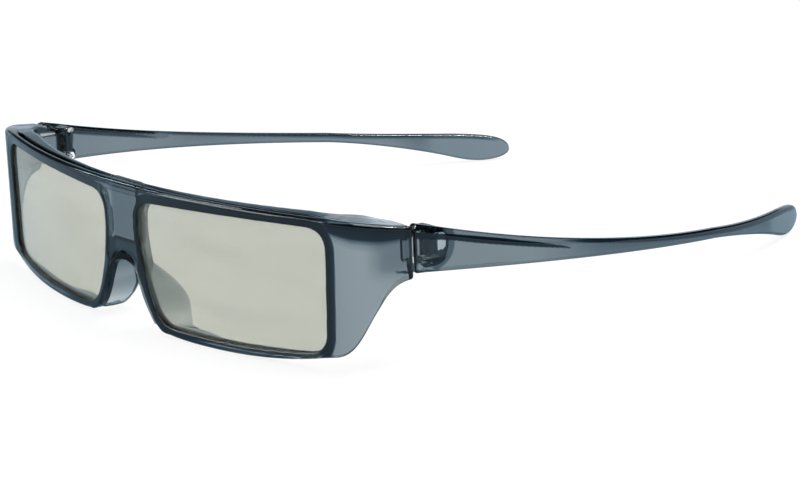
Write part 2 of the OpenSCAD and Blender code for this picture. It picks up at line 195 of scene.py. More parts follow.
bay_end = (bay_x, shelf_y(bay_x) + bay_step)
bay = np.concatenate([
    [[x, shelf_y(x)] for x in np.linspace(0, bay_start, 40)],
    bow((bay_start, shelf_y(bay_start)), (60.83, shelf_y(bay_bend) - 3),
        (64.83, shelf_y(bay_bend)), bay_end),
    [bay_end, [bay_x + 2, end_depth], [bay_x + 4.5, end_depth + 10]],
])
bay = np.stack(front_place(bay[:, 0], bay[:, 1]), 1)
shelf_plan = np.concatenate([[[0, shelf_root]], bay, [[bay[-1, 0], shelf_root]]])


def distance_to(outline, u, v):
    """Distance from a closed outline, negative inside it."""
    near = np.full(np.broadcast(u, v).shape, 1e9)
    inside = np.zeros(near.shape, bool)
    for p, q in zip(outline, np.roll(outline, -1, 0)):
        edge = q - p
        du, dv = u - p[0], v - p[1]
        t = np.clip((du * edge[0] + dv * edge[1]) / max(edge @ edge, 1e-9), 0, 1)
        near = np.minimum(near, (du - t * edge[0])**2 + (dv - t * edge[1])**2)
        if p[1] != q[1]:
            inside ^= ((p[1] > v) != (q[1] > v)) & (du < edge[0] * dv / edge[1])
    return np.where(inside, -1, 1) * np.sqrt(near)


def line_at(line, place):
    """Height of a line of points at a place along it."""
    return np.interp(place, line[:, 0], line[:, 1])


def shared(*shapes):
    """Material that all the shapes hold, with sharp edges."""
    return reduce(np.maximum, shapes)


def common(a, b, r):
    """Material that two shapes share, with its edge rounded by r."""
    return np.minimum(np.maximum(a, b), -r) + np.hypot(np.maximum(a + r, 0), np.maximum(b + r, 0))


def joined(a, b, r):
    """Two shapes as one, with a fillet of radius r where they meet."""
    return np.maximum(np.minimum(a, b), r) - np.hypot(np.maximum(r - a, 0), np.maximum(r - b, 0))


def ramp(value, start, end):
    """0 before start, 1 after end, smooth between."""
    t = np.clip((value - start) / (end - start), 0, 1)
    return t * t * (3 - 2 * t)


# Grid that the front is shaped on: along the outer face, behind it, and up
half_grid = np.unique(np.round(np.concatenate([
    np.arange(0, 16, 0.33), np.arange(16, 60, 0.6), np.arange(60, 99, 0.28)]), 3))
grid_s = np.concatenate([-half_grid[:0:-1], half_grid])
grid_d = np.concatenate([np.arange(-0.6, 3.2, 0.17), np.arange(3.2, 12, 0.32)])
grid_z = np.concatenate([np.arange(-0.7, 6, 0.3), np.arange(6, 29, 0.33), np.arange(29, 35.8, 0.19)])
along = np.abs(grid_s)[:, None, None]
behind, height = grid_d[None, :, None], grid_z[None, None, :]
from_opening = distance_to(opening, along[:, 0], height[0])[:, None, :]
from_outline = distance_to(silhouette, grid_s[:, None], height[0])[:, None, :]
from_shelf = distance_to(shelf_plan, along[:, 0], grid_d[None, :])[:, :, None]
plan_x, plan_y = (place[:, :, None] for place in on_front(along[:, 0], grid_d[None, :]))
brow_top = line_at(brow_line, along)

# Shell with thicker end blocks and a crisper edge in the nose cut-out, brow shelf and bridge
block_start, block_run, block_deep, block_low, block_rise = 16.5, 4.5, 3.5, 19.5, 5
edge_round, nose_crisper, end_round = 1.0, 0.65, 0.35
shelf_thick, shelf_round, shelf_fillet = 1.6, 0.55, 0.5
bridge_half, bridge_deep, bridge_sill = 5.2, 4.0, 20.5
bridge_round, bridge_fillet = 0.4, 1.2
shell_deep = front_wall + (
    (block_deep - front_wall) * ramp(plan_y, block_start, block_start + block_run)
    * ramp(height, block_low, block_low + block_rise))
shell_round = edge_round - nose_crisper * ramp(along, 17, 14.5) * ramp(height, 20, 18.5)
body = common(from_outline, shared(-behind, behind - shell_deep), shell_round)
shelf = common(from_shelf, np.abs(height - brow_top + shelf_thick / 2) - shelf_thick / 2, shelf_round)
body = joined(body, shelf, shelf_fillet)
bridge = shared(along - bridge_half, behind - bridge_deep, bridge_sill - height, shelf_root - behind)
body = joined(body, common(bridge, height - brow_top + bridge_round, bridge_round), bridge_fillet)
body = common(body, plan_y - end_depth, end_round)

# Hinge knuckle on its tongue, bored along the joint's axis
joints = {joint["name"]: joint for joint in frame["record"]["behaviour"]["joints"]}
hinge_x, hinge_y, _ = joints["left_temple_fold"]["pos_m"]
axis_x, axis_y = round(hinge_x / MM, 3), round(hinge_y / MM + half_depth, 3)
knuckle_r, knuckle_low, knuckle_high, bore_r = 2.2, 24.6, 29.2, 0.85
tongue_half, tongue_root = 0.8, 0.6
knuckle_round, knuckle_fillet = 0.25, 0.8
from_axis = np.hypot(plan_x - axis_x, plan_y - axis_y)
tongue = shared(np.abs(plan_x - axis_x) - tongue_half, plan_y - axis_y, end_depth - tongue_root - plan_y)
knuckle = np.minimum(from_axis - knuckle_r, tongue)
knuckle = common(knuckle, shared(knuckle_low - height, height - knuckle_high), knuckle_round)
body = joined(body, knuckle, knuckle_fillet)
body = shared(body, bore_r - from_axis)

# Groove in the brow's top, bevelled rims, sunk bridge panel, lens openings and lens seats
groove_back, groove_deep, groove_round = 2.15, 1.1, 0.12
rim_band, rim_gain, bridge_trim, rim_slope, rim_round = 2.2, 0.4, 1.0, 0.12, 0.12
panel_half, panel_top, panel_deep, panel_round = 7, 32.3, 0.4, 0.2
lens_lip, seat_w, seat_height, seat_back = 0.9, 1.3, 33.2, 5


def band_width(along, height):
    """Width of the bevelled band round a lens: more at the ends, less beside the bridge."""
    return (rim_band + rim_gain * ramp(along, 45, 62)
            - bridge_trim * ramp(along, 9, 7) * ramp(height, 15, 17))


groove_half = np.interp(along, [0, 4, 9, 60, 64.5], [0.16, 0.2, 0.62, 0.62, 0.0])
groove = shared(np.abs(behind - groove_back) - groove_half, brow_top - groove_deep - height)
body = common(body, -groove, groove_round)
band = band_width(along, height)
body = shared(body, rim_slope * (band - from_opening) - behind)
panel = shared(band - from_opening, behind - panel_deep, height - panel_top, along - panel_half)
body = common(body, -panel, panel_round)
body = common(body, -from_opening, rim_round)
seat = shared(from_opening - seat_w, lens_lip - behind, height - seat_height, behind - seat_back)
body = shared(body, -seat)

# Thin flange behind each rim: shallow at the nose and the ends, deepest in the lower rim near the nose
flange_wall, flange_root, flange_front = 0.8, 1.5, 1.95
flange_deep, flange_low, flange_near_nose = 4.1, 3.3, 1.7
flange_inset, top_trim = 0.05, 0.03
near_bottom = ramp(height, 9, 5)
shallow = np.maximum(ramp(along, 19, 16) * ramp(height, 16, 13), ramp(along, 48, 60))
flange_end = flange_deep + (flange_low - flange_deep) * near_bottom
flange_end = flange_end + flange_near_nose * ramp(along, 17, 22) * ramp(along, 34, 24) * near_bottom
flange_end = flange_end + (front_wall - flange_end) * shallow
flange = np.minimum(shared(from_opening - flange_root, behind - front_wall),
                    shared(from_opening - flange_wall, behind - flange_end))
flange = shared(flange, flange_inset - from_opening, from_outline + flange_inset, flange_front - behind)
body = np.minimum(body, flange)
body = shared(body, height - brow_top + top_trim)


def skin(axes, field):
    """Vertices and quads of the surface on which a field over a grid is zero."""
    cells = np.array(field.shape) - 1
    step = np.array([cells[1] * cells[2], cells[2], 1])
    total, count = np.zeros((cells.prod(), 3)), np.zeros(cells.prod())
    quads = []
    for k in range(3):
        i, j = (k + 1) % 3, (k + 2) % 3
        low = np.moveaxis(field, k, 0)[:-1]
        high = np.moveaxis(field, k, 0)[1:]
        cut = np.nonzero((low < 0) != (high < 0))
        a, b = low[cut], high[cut]
        at = np.empty((len(a), 3), int)
        rest = [m for m in range(3) if m != k]
        at[:, k], at[:, rest[0]], at[:, rest[1]] = cut
        point = np.stack([axes[m][at[:, m]] for m in range(3)], 1)
        point[:, k] += (axes[k][at[:, k] + 1] - axes[k][at[:, k]]) * a / (a - b)
        inner = ((at[:, rest] > 0) & (at[:, rest] < cells[rest])).all(1)
        at, point, up = at[inner], point[inner], a[inner] < 0
        ring = []
        for di, dj in ((0, 0), (1, 0), (1, 1), (0, 1)):
            cell = at.copy()
            cell[:, i] -= di
            cell[:, j] -= dj
            flat = cell @ step
            ring.append(flat)
            count += np.bincount(flat, minlength=len(count))
            for m in range(3):
                total[:, m] += np.bincount(flat, point[:, m], len(count))
        ring = np.stack(ring, 1)
        quads.append(np.where(up[:, None], ring, ring[:, ::-1]))
    used = np.nonzero(count)[0]
    index = np.full(len(count), -1)
    index[used] = np.arange(len(used))
    return total[used] / count[used, None], index[np.concatenate(quads)]


points, quads = skin((grid_s, grid_d, grid_z), body.astype(np.float32))
x, y = on_front(points[:, 0], points[:, 1])

# Tone of the moulding: painted shade along edges, rims and rails, counted in millimetres of darkening
along, behind, height = np.abs(points[:, 0]), points[:, 1], points[:, 2]
from_opening = distance_to(opening, along, height)
from_edge = -distance_to(silhouette, points[:, 0], height)
from_axis = np.hypot(np.abs(x) - axis_x, y - axis_y)
under_top = line_at(brow_line, along) - height
by_nose = ramp(along, 12.5, 11) * ramp(height, 15.5, 14)
outside = ramp(behind, 1.6 - 0.95 * by_nose, 1.1 - 0.75 * by_nose)
low_rim = ramp(height, 4.8, 3.3) * ramp(along, 65, 62.5) * ramp(along, 18, 32)

# Painted shade: a dark band round each lens, streaked along the bottom and paler at the brow
rim_painted_shade, rim_soft, top_paler = 7, 0.2, 0.5
low_rim_painted_shade = np.interp(from_opening, [0, 0.3, 0.45, 0.95, 1.1, 1.25], [3.5, 3.5, 0.2, 0.2, 1.6, 0.2])
band = band_width(along, height)
rim_tone = (rim_painted_shade + (low_rim_painted_shade - rim_painted_shade) * low_rim) * ramp(
    from_opening, band + rim_soft, band - rim_soft) * outside
rim_tone = rim_tone * (1 - top_paler * ramp(height, 33.5, 34.5))

# Painted shade along the edges of the nose cut-out and of the whole outline
nose_edge_painted_shade, edge_painted_shade, low_edge_paler = 3.4, 2.2, 1.5
nose_edge_tone = nose_edge_painted_shade * ramp(from_edge, 0.9, 0.2) * ramp(along, 13, 10) * outside
edge_tone = (edge_painted_shade - low_edge_paler * low_rim) * ramp(from_edge, 0.5, 0.1)
edge_tone = edge_tone * ramp(behind, 1.8, 1.2) * (1 - by_nose)

# Painted shade on the sill under the bridge panel, and a painted shadow line round the nose arch
sill_painted_shade, arch_painted_shadow = 4.4, 9
sill_tone = sill_painted_shade * ramp(height, 20.9, 20.3) * ramp(along, 8, 6.5)
sill_tone = sill_tone * ramp(height, 15, 17) * outside
arch_line = np.array([(0, 17.95), (2, 17.8), (3.75, 17.25), (5.1, 16.65), (6.4, 15.9), (7.3, 14.6)])
from_arch = np.abs(distance_to(np.concatenate([arch_line, arch_line[::-1]]), along, height))
arch_tone = arch_painted_shadow * ramp(from_arch, 0.35, 0.15) * outside

# Painted shade on the rail behind the brow's top edge, and in the groove in it
rail_start, groove_painted_shade, groove_paler = 1.6, 8, 0.8
rail_share = (behind - rail_start) / np.maximum(line_at(bay, along) - rail_start, 0.5)
rail_tone = np.interp(rail_share, [0, 0.5, 1], [6.5, 4.5, 1.6])
rail_tone = rail_tone * ramp(under_top, 1.7, 1.2) * ramp(behind, 1.2, rail_start)
rail_tone = rail_tone * ramp(along, 66, 58)
in_groove = ramp(under_top, 0.12, 0.3) * ramp(np.abs(behind - groove_back), 0.85, 0.65)
in_groove = in_groove * ramp(along, 66, 64)
groove_tone = groove_painted_shade * in_groove * (1 - groove_paler * ramp(along, 13, 9))

# Painted shade: a dark band under the top of each end piece
end_band = np.array([(65, 32.3), (67.8, 31.6), (71.8, 30.7), (76.2, 30.2), (78.4, 30.0), (85.7, 30.1)])
band_low = line_at(end_band, along)
band_share = (height - band_low) / np.maximum(line_at(brow_line, along) - 0.9 - band_low, 0.1)
end_tone = np.interp(band_share, [-0.8, -0.3, 0, 0.15, 1.05, 1.3], [0, 0.6, 2.5, 7, 10, 0])
end_tone = end_tone * ramp(along, 64.5, 67) * outside

# Painted shade: a dark slit line in front of the hinge, and a darker knuckle, flange behind the rims and
# end block
slit_painted_shade, knuckle_painted_shade, flange_painted_shade, flange_nose_painted_shade, block_painted_shade = 6, 2.8, 0.5, 1.1, 0.3
slit = np.interp(along, [81, 85.1], [23.0, 22.3])
slit_tone = slit_painted_shade * ramp(np.abs(height - slit), 0.3, 0.1) * ramp(along, 81, 83.5) * outside
knuckle_tone = knuckle_painted_shade * ramp(from_axis, knuckle_r + 0.4, knuckle_r)
in_flange = ramp(behind, flange_front - 0.1, flange_front) * ramp(from_opening, 1.0, 0.9)
flange_tone = in_flange * (flange_painted_shade + flange_nose_painted_shade * ramp(along, 15, 11)) * (1 - low_rim)
block_tone = block_painted_shade * ramp(along, 77.6, 79.6) * ramp(height, 22.4, 23.6) * outside
tone = reduce(np.maximum, [
    rim_tone, nose_edge_tone, edge_tone, sill_tone, arch_tone, rail_tone, groove_tone,
    end_tone, slit_tone, knuckle_tone, flange_tone, block_tone,
])


def moulding(name, points, quads, tone):
    """Smooth mesh object from points in millimetres, with its painted shade as a tone in millimetres."""
    mesh = bpy.data.meshes.new(name)
    mesh.from_pydata((np.asarray(points) * MM).tolist(), [], [list(map(int, q)) for q in quads])
    mesh.polygons.foreach_set("use_smooth", np.ones(len(mesh.polygons), bool))
    mesh.attributes.new("tone", "FLOAT", "POINT").data.foreach_set("value", np.asarray(tone, np.float32))
    mesh.update()
    piece = bpy.data.objects.new(name, mesh)
    bpy.context.scene.collection.objects.link(piece)
    return piece


front = moulding("front_frame_moulding", np.stack([x, y - half_depth, height], 1), quads, tone)
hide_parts("front_frame")
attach(front, "front")

# Colour of the painted shade: darkening like a path through dye, for each millimetre of tone
painted_shade_colour = bpy.data.node_groups.new("painted_shade_tone", "ShaderNodeTree")
painted_shade_colour.interface.new_socket("Tone", in_out="INPUT", socket_type="NodeSocketFloat")
painted_shade_colour.interface.new_socket("Colour", in_out="OUTPUT", socket_type="NodeSocketColor")
enter, leave = painted_shade_colour.nodes.new("NodeGroupInput"), painted_shade_colour.nodes.new("NodeGroupOutput")
blend = painted_shade_colour.nodes.new("ShaderNodeCombineColor")
for channel, per_mm in (("Red", 0.33), ("Green", 0.40), ("Blue", 0.45)):
    fall = painted_shade_colour.nodes.new("ShaderNodeMath")
    fall.operation = "POWER"
    fall.inputs[0].default_value = per_mm
    painted_shade_colour.links.new(enter.outputs["Tone"], fall.inputs[1])
    painted_shade_colour.links.new(fall.outputs[0], blend.inputs[channel])
painted_shade_colour.links.new(blend.outputs[0], leave.inputs["Colour"])

# Polished mould surface: roughness and a faint unevenness that break up the gloss
gloss = bpy.data.node_groups.new("mould_gloss", "ShaderNodeTree")
for label in ("Scale", "Smooth", "Dull"):
    gloss.interface.new_socket(label, in_out="INPUT", socket_type="NodeSocketFloat")
for label in ("Roughness", "Height"):
    gloss.interface.new_socket(label, in_out="OUTPUT", socket_type="NodeSocketFloat")
enter, leave = gloss.nodes.new("NodeGroupInput"), gloss.nodes.new("NodeGroupOutput")
where = gloss.nodes.new("ShaderNodeTexCoord")
cloud = gloss.nodes.new("ShaderNodeTexNoise")
cloud.inputs["Detail"].default_value = 3
spread = gloss.nodes.new("ShaderNodeMapRange")
spread.inputs["From Min"].default_value, spread.inputs["From Max"].default_value = 0.35, 0.7
gloss.links.new(where.outputs["Object"], cloud.inputs["Vector"])
gloss.links.new(enter.outputs["Scale"], cloud.inputs["Scale"])
gloss.links.new(cloud.outputs["Fac"], spread.inputs["Value"])
gloss.links.new(enter.outputs["Smooth"], spread.inputs["To Min"])
gloss.links.new(enter.outputs["Dull"], spread.inputs["To Max"])
gloss.links.new(spread.outputs["Result"], leave.inputs["Roughness"])
gloss.links.new(cloud.outputs["Fac"], leave.inputs["Height"])


def mould_gloss(material, scale, smooth, dull, unevenness):
    """Gives a material's shader the gloss of a polished moulding."""
    nodes, links = material.node_tree.nodes, material.node_tree.links
    finish = nodes.new("ShaderNodeGroup")
    finish.node_tree = gloss
    finish.inputs["Scale"].default_value = scale
    finish.inputs["Smooth"].default_value, finish.inputs["Dull"].default_value = smooth, dull
    bump = nodes.new("ShaderNodeBump")
    bump.inputs["Strength"].default_value = unevenness
    bump.inputs["Distance"].default_value = 0.2 * MM
    links.new(finish.outputs["Roughness"], nodes["Principled BSDF"].inputs["Roughness"])
    links.new(finish.outputs["Height"], bump.inputs["Height"])
    links.new(bump.outputs["Normal"], nodes["Principled BSDF"].inputs["Normal"])


# Tint of the plastic's depth, and the share of its painted shade that a face seen from inside keeps
smoke_tint, rear_share = (0.467, 0.534, 0.57, 1), 0.5


def see_through_plastic(name, density, ior=1.5, glancing=0.0):
    """Dyed clear plastic: darker where it is thicker, with the painted shade of its tone, and with more
    painted shade at a slant.
    """
    material = bpy.data.materials.new(name)
    material.use_nodes = True
    nodes, links = material.node_tree.nodes, material.node_tree.links
    plastic = nodes["Principled BSDF"]
    plastic.inputs["Transmission Weight"].default_value = 1
    plastic.inputs["IOR"].default_value = ior
    mark, colour = nodes.new("ShaderNodeAttribute"), nodes.new("ShaderNodeGroup")
    mark.attribute_name = "tone"
    colour.node_tree = painted_shade_colour
    inside, keep = nodes.new("ShaderNodeNewGeometry"), nodes.new("ShaderNodeMapRange")
    keep.inputs["To Min"].default_value, keep.inputs["To Max"].default_value = 1.0, rear_share
    links.new(inside.outputs["Backfacing"], keep.inputs["Value"])
    seen = nodes.new("ShaderNodeMath")
    seen.operation = "MULTIPLY"
    # Painted shade that deepens the tone at a slant
    if glancing:
        slant = nodes.new("ShaderNodeLayerWeight")
        steep, deeper = nodes.new("ShaderNodeMath"), nodes.new("ShaderNodeMath")
        steep.operation, deeper.operation = "POWER", "MULTIPLY_ADD"
        steep.inputs[1].default_value, deeper.inputs[1].default_value = 2.0, glancing
        links.new(slant.outputs["Facing"], steep.inputs[0])
        links.new(steep.outputs[0], deeper.inputs[0])
        links.new(mark.outputs["Fac"], deeper.inputs[2])
        links.new(deeper.outputs[0], seen.inputs[0])
    else:
        links.new(mark.outputs["Fac"], seen.inputs[0])
    links.new(keep.outputs["Result"], seen.inputs[1])
    links.new(seen.outputs[0], colour.inputs["Tone"])
    links.new(colour.outputs["Colour"], plastic.inputs["Base Color"])
    depth = nodes.new("ShaderNodeVolumeAbsorption")
    depth.inputs["Color"].default_value = smoke_tint
    depth.inputs["Density"].default_value = density
    links.new(depth.outputs["Volume"], nodes["Material Output"].inputs["Volume"])
    mould_gloss(material, scale=90, smooth=0.025, dull=0.06, unevenness=0.04)
    return material


smoke = see_through_plastic("smoke_plastic", density=1000)
front.data.materials.append(smoke)


# NOSE PAD
# Paler see-through saddle, moulded by itself and set into the nose cut-out: its front edge is
# rolled over almost flush with the rims, and thin wings grow deeper behind it towards the bottom.
nose_wall, tail_wall, least_wall, nose_room = 1.2, 0.6, 0.08, 0.1
nose_depth, wing_depth, wing_flare = 5.0, 11.2, 1.8
arch_top, wing_z = 18.8, 6.5
front_inset, crown_inset, tail_inset = 0.12, 0.4, 2.6
roll_most, roll_share, corner_share = 0.6, 0.45, 0.4
lip_back, lip_step, outer_start, outer_bend = 0.3, 0.05, 0.6, 1.5
lip_painted_shade = 1.2
cut_out = np.concatenate([
    nose_edge,
    bow((10.2, 4.9), (10.8, 3.6), (11.6, 2.7), (12.5, 1.95)),
    bow((12.5, 1.95), (13.2, 1.55), (14, 1.4), (14.8, 1.35)),
    [[14.8, 1.35]],
])
nose_side = np.concatenate([
    bow((0, 15.6), (2.1, 15.6), (3.4, 14.8), (4.4, 13.5)),
    bow((4.4, 13.5), (5.5, 12), (6.5, 10.3), (7, 8.7)),
    bow((7, 8.7), (7.4, 7.6), (8.6, 5.9), (9.6, 4.6)),
    bow((9.6, 4.6), (10.3, 3.7), (11.2, 2.3), (12.4, 1.4)),
    bow((12.4, 1.4), (13.1, 1), (13.8, 0.85), (14.6, 0.75)),
    [[14.6, 0.75]],
])


def both_sides(half):
    """A half line that starts at the middle, with its mirror image before it."""
    return np.concatenate([(half * [-1, 1])[:0:-1], half])


# Where each station of the saddle starts and ends behind the face, and how its wings drop
cut_out, nose_side = both_sides(cut_out), both_sides(nose_side)
reach = np.abs(nose_side[:, 0])
wing_share = ramp(arch_top - cut_out[:, 1], 0, arch_top - wing_z)
wing_end = nose_depth + (wing_depth - nose_depth) * wing_share
wing_end = np.minimum(wing_end, np.interp(reach, [8.5, 9.6, 12.4, 14.6], [11.2, 10.6, 9.0, 8.7]))
wing_front = front_inset + crown_inset * ramp(reach, 6, 4.5) + tail_inset * ramp(reach, 11.3, 12.3)
wing_drop = np.interp(reach, [6.5, 9.6, 12.4, 14.6], [0, 1.1, 0.9, 0.5])
wing_wall = np.interp(reach, [7.5, 11], [nose_wall, tail_wall])

# One closed section at each station: rolled lip, inner face, beaded rear edge, outer face
quarter, bead_turn = np.linspace(0, np.pi / 2, 8), np.linspace(-np.pi / 2, np.pi / 2, 9)
inward, back = np.linspace(0, 1, 14)[1:-1], np.linspace(0, 1, 8)
loop, tone = [], []
for outer, inner, inset, end, share, drop, most in zip(
        cut_out, nose_side, wing_front, wing_end, wing_share, wing_drop, wing_wall):
    wide = np.hypot(*(outer - inner))
    way = (outer - inner) / wide
    wide = max(wide - nose_room, least_wall)
    wall = min(most, wide)
    bead, roll = wall / 2, min(roll_most, roll_share * wide)
    rolled, turned = inset + roll, end - bead
    side = np.concatenate([
        [wide, wide - corner_share / 2 * roll],
        roll + (wide - (1 + corner_share) * roll) * back[:-1][::-1],
        roll * (1 - np.sin(quarter)),
        0 * inward,
        bead * (1 + np.sin(bead_turn)),
        wall + (wide - wall) * back**outer_bend,
    ])
    deep = np.concatenate([
        [inset + lip_back, inset + lip_step],
        inset + 0 * back[:-1],
        inset + roll * (1 - np.cos(quarter)),
        rolled + (turned - rolled) * inward,
        turned + bead * np.cos(bead_turn),
        turned + (inset + outer_start - turned) * back,
    ])
    rearward = np.clip((deep - inset) / (end - inset), 0, 1)
    px, pz = inner[0] + way[0] * side, inner[1] + way[1] * side - drop * rearward
    py = front_radius - np.sqrt((front_radius - deep)**2 - px * px)
    px = px + np.sign(outer[0]) * wing_flare * share * rearward * rearward
    loop.append(np.stack([px, py - half_depth, pz], 1))
    # Painted shade along the front of the saddle's lip
    tone.append(lip_painted_shade * ramp(deep, 0.7, 0.3))
around, last = len(loop[0]), len(loop) - 1
quads = []
for i in range(last):
    for k in range(around):
        here, after = i * around, (i + 1) * around
        turn = (k + 1) % around
        quads.append([here + k, here + turn, after + turn, after + k])
quads += [list(range(around))[::-1], [last * around + k for k in range(around)]]
saddle = moulding("nose_saddle", np.concatenate(loop), quads, np.concatenate(tone))
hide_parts("nose_pad")
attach(saddle, "front")
# Paler nose plastic, with painted shade at a slant
pad_plastic = see_through_plastic("nose_plastic", density=2200, ior=1.2, glancing=0.6)
saddle.data.materials.append(pad_plastic)


# LENSES
# Each lens is a laminate stuck behind the rim's lip: a retarder film, a polarising film that
# gives the grey-green tint, and a clear carrier sheet, cut to one outline.
film_cloud = bpy.data.node_groups.new("film_cloud", "ShaderNodeTree")
film_cloud.interface.new_socket("Tint", in_out="INPUT", socket_type="NodeSocketColor")
film_cloud.interface.new_socket("Colour", in_out="OUTPUT", socket_type="NodeSocketColor")
enter, leave = film_cloud.nodes.new("NodeGroupInput"), film_cloud.nodes.new("NodeGroupOutput")
where, stretch = film_cloud.nodes.new("ShaderNodeTexCoord"), film_cloud.nodes.new("ShaderNodeMapping")
stretch.inputs["Scale"].default_value = (30, 30, 140)
streak, depth = film_cloud.nodes.new("ShaderNodeTexNoise"), film_cloud.nodes.new("ShaderNodeMapRange")
streak.inputs["Scale"].default_value = 1
depth.inputs["From Min"].default_value, depth.inputs["From Max"].default_value = 0.3, 0.7
depth.inputs["To Min"].default_value, depth.inputs["To Max"].default_value = 0.975, 1.0
shade = film_cloud.nodes.new("ShaderNodeMixRGB")
shade.blend_type = "MULTIPLY"
shade.inputs["Fac"].default_value = 1
film_cloud.links.new(where.outputs["Object"], stretch.inputs["Vector"])
film_cloud.links.new(stretch.outputs["Vector"], streak.inputs["Vector"])
film_cloud.links.new(streak.outputs["Fac"], depth.inputs["Value"])
film_cloud.links.new(enter.outputs["Tint"], shade.inputs["Color1"])
film_cloud.links.new(depth.outputs["Result"], shade.inputs["Color2"])
film_cloud.links.new(shade.outputs["Color"], leave.inputs["Colour"])


def streaked(name, colour):
    """Material whose colour has the faint streaks of drawn film or wire."""
    material = bpy.data.materials.new(name)
    material.use_nodes = True
    nodes, links = material.node_tree.nodes, material.node_tree.links
    cloud = nodes.new("ShaderNodeGroup")
    cloud.node_tree = film_cloud
    cloud.inputs["Tint"].default_value = (*colour, 1)
    links.new(cloud.outputs["Colour"], nodes["Principled BSDF"].inputs["Base Color"])
    return material


def film_material(name, colour, ior, clear=1.0):
    """See-through film or sheet with a smooth face; clear is the share of light let through."""
    film = streaked(name, colour)
    shader = film.node_tree.nodes["Principled BSDF"]
    shader.inputs["Transmission Weight"].default_value = clear
    shader.inputs["IOR"].default_value = ior
    mould_gloss(film, scale=60, smooth=0.0, dull=0.012, unevenness=0.01)
    return film


# Outline of the sheets: the opening grown into the lens seat, with a little room round it
seat_room = 0.15
tangent = np.roll(opening, -1, 0) - np.roll(opening, 1, 0)
outward = np.stack([-tangent[:, 1], tangent[:, 0]], 1)
outward = outward / np.hypot(tangent[:, 0], tangent[:, 1])[:, None]
lens_outline = opening + (seat_w - seat_room) * outward
lens_outline[:, 1] = np.minimum(lens_outline[:, 1], seat_height - seat_room)

# Front and back of each layer behind the rim's outer face, its material and its finish
clear_white, grey_green = (1, 1, 1), (0.56, 0.577, 0.507)
retarder = film_material("retarder_film", clear_white, ior=1.2)
polariser = film_material("polariser_film", grey_green, ior=1.0, clear=0.895)
carrier = film_material("carrier_sheet", clear_white, ior=1.2)
layers = {
    "retarder": (1.06, 1.19, retarder, "lens_film"),
    "polariser": (1.21, 1.39, polariser, "lens_film"),
    "carrier": (1.41, 1.85, carrier, "lens_sheet"),
}

# Each sheet is cut flat, split into strips so that it can bend, and laid along the front's curve
strip_from, strip_to, strip_w = 6, 66, 1.5
for hand, way in (("left", 1), ("right", -1)):
    for layer, (front_d, back_d, film, finish) in layers.items():
        sheet = bmesh.new()
        sheet.faces.new([sheet.verts.new((u, front_d, v)) for u, v in lens_outline[::-1]])
        for cut in np.arange(strip_from, strip_to, strip_w):
            bmesh.ops.bisect_plane(sheet, geom=sheet.verts[:] + sheet.edges[:] + sheet.faces[:],
                                   plane_co=(cut, 0, 0), plane_no=(1, 0, 0))
        rear = bmesh.ops.extrude_face_region(sheet, geom=sheet.faces[:], use_keep_orig=True)["geom"]
        for vertex in rear:
            if isinstance(vertex, bmesh.types.BMVert):
                vertex.co.y = back_d
        for vertex in sheet.verts:
            px, py = on_front(np.array(vertex.co.x), np.array(vertex.co.y))
            vertex.co = Vector((way * float(px), float(py) - half_depth, vertex.co.z)) * MM
        if sheet.calc_volume(signed=True) < 0:
            bmesh.ops.reverse_faces(sheet, faces=sheet.faces[:])
        mesh = bpy.data.meshes.new(f"{hand}_{layer}_sheet")
        sheet.to_mesh(mesh)
        sheet.free()
        mesh.polygons.foreach_set("use_smooth", np.ones(len(mesh.polygons), bool))
        mesh.set_sharp_from_angle(angle=math.radians(40))
        mesh.materials.append(film)
        piece = bpy.data.objects.new(f"{hand}_{layer}_sheet", mesh)
        bpy.context.scene.collection.objects.link(piece)
        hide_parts(f"{hand}_lens_{layer}")
        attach(piece, "front")

# Adhesive ring between each laminate and its lip
bond = film_material("clear_bond", (0.85, 0.87, 0.86), ior=1.0)
for hand in ("left", "right"):
    ring = frame["nodes"][f"{hand}_lens_bond"]
    ring.data.materials.clear()
    ring.data.materials.append(bond)


# TEMPLES
# Two mirror-image mouldings of the same smoky plastic. The head carries two cheeks round the
# hinge pin, a bevel runs out along the top, and the arm slims down before a flared tip.
temple_radius = 193.0
temple_x = 76.504
temple_start, head_top, head_bottom = 26.3, 33.0, 21.7
tip_depth = 2 * half_depth
temple_centre = np.array([temple_x - temple_radius * math.sin(end_angle),
                          end_depth + temple_radius * math.cos(end_angle)])
first_angle = math.asin((temple_start - temple_centre[1]) / temple_radius)


def on_temple(s, d):
    """Width and depth of the point that lies s along the temple's outer face and d inside it."""
    angle = first_angle + s / temple_radius
    return (temple_centre[0] + (temple_radius - d) * np.cos(angle),
            temple_centre[1] + (temple_radius - d) * np.sin(angle))


def along_temple(y):
    """Place along the temple's outer face at which it has reached depth y."""
    return temple_radius * (np.arcsin((np.asarray(y) - temple_centre[1]) / temple_radius) - first_angle)


# Side view of the temple in depth and height, then along its face
upper = np.concatenate([
    bow((temple_start, head_top), (57.32, 23.3), (89.28, 17.3), (120.3, 13), 30),
    bow((120.3, 13), (132.3, 10.9), (143.5, 9.6), (155.5, 8.4)),
    bow((155.5, 8.4), (163.5, 7.4), (tip_depth, 6.6), (tip_depth, 2.8)),
])
lower = np.concatenate([
    bow((tip_depth, 2.8), (tip_depth, 0.9), (167, 0), (163.5, 0)),
    bow((163.5, 0), (160.5, 0), (157.9, 0.8), (155.5, 1.6)),
    bow((155.5, 1.6), (146.5, 4.8), (132.3, 8.4), (120.3, 10.4)),
    bow((120.3, 10.4), (89.28, 14.7), (57.32, 18.9), (temple_start, head_bottom), 30),
    [[temple_start, head_bottom]],
])
corner = bow((temple_start, 31.5), (temple_start, 32.3),
             (temple_start + 0.5, 32.7), (temple_start + 1.4, 32.55), 6)
profile = np.concatenate([corner, upper[2:], lower])
profile = np.stack([along_temple(profile[:, 0]), profile[:, 1]], 1)
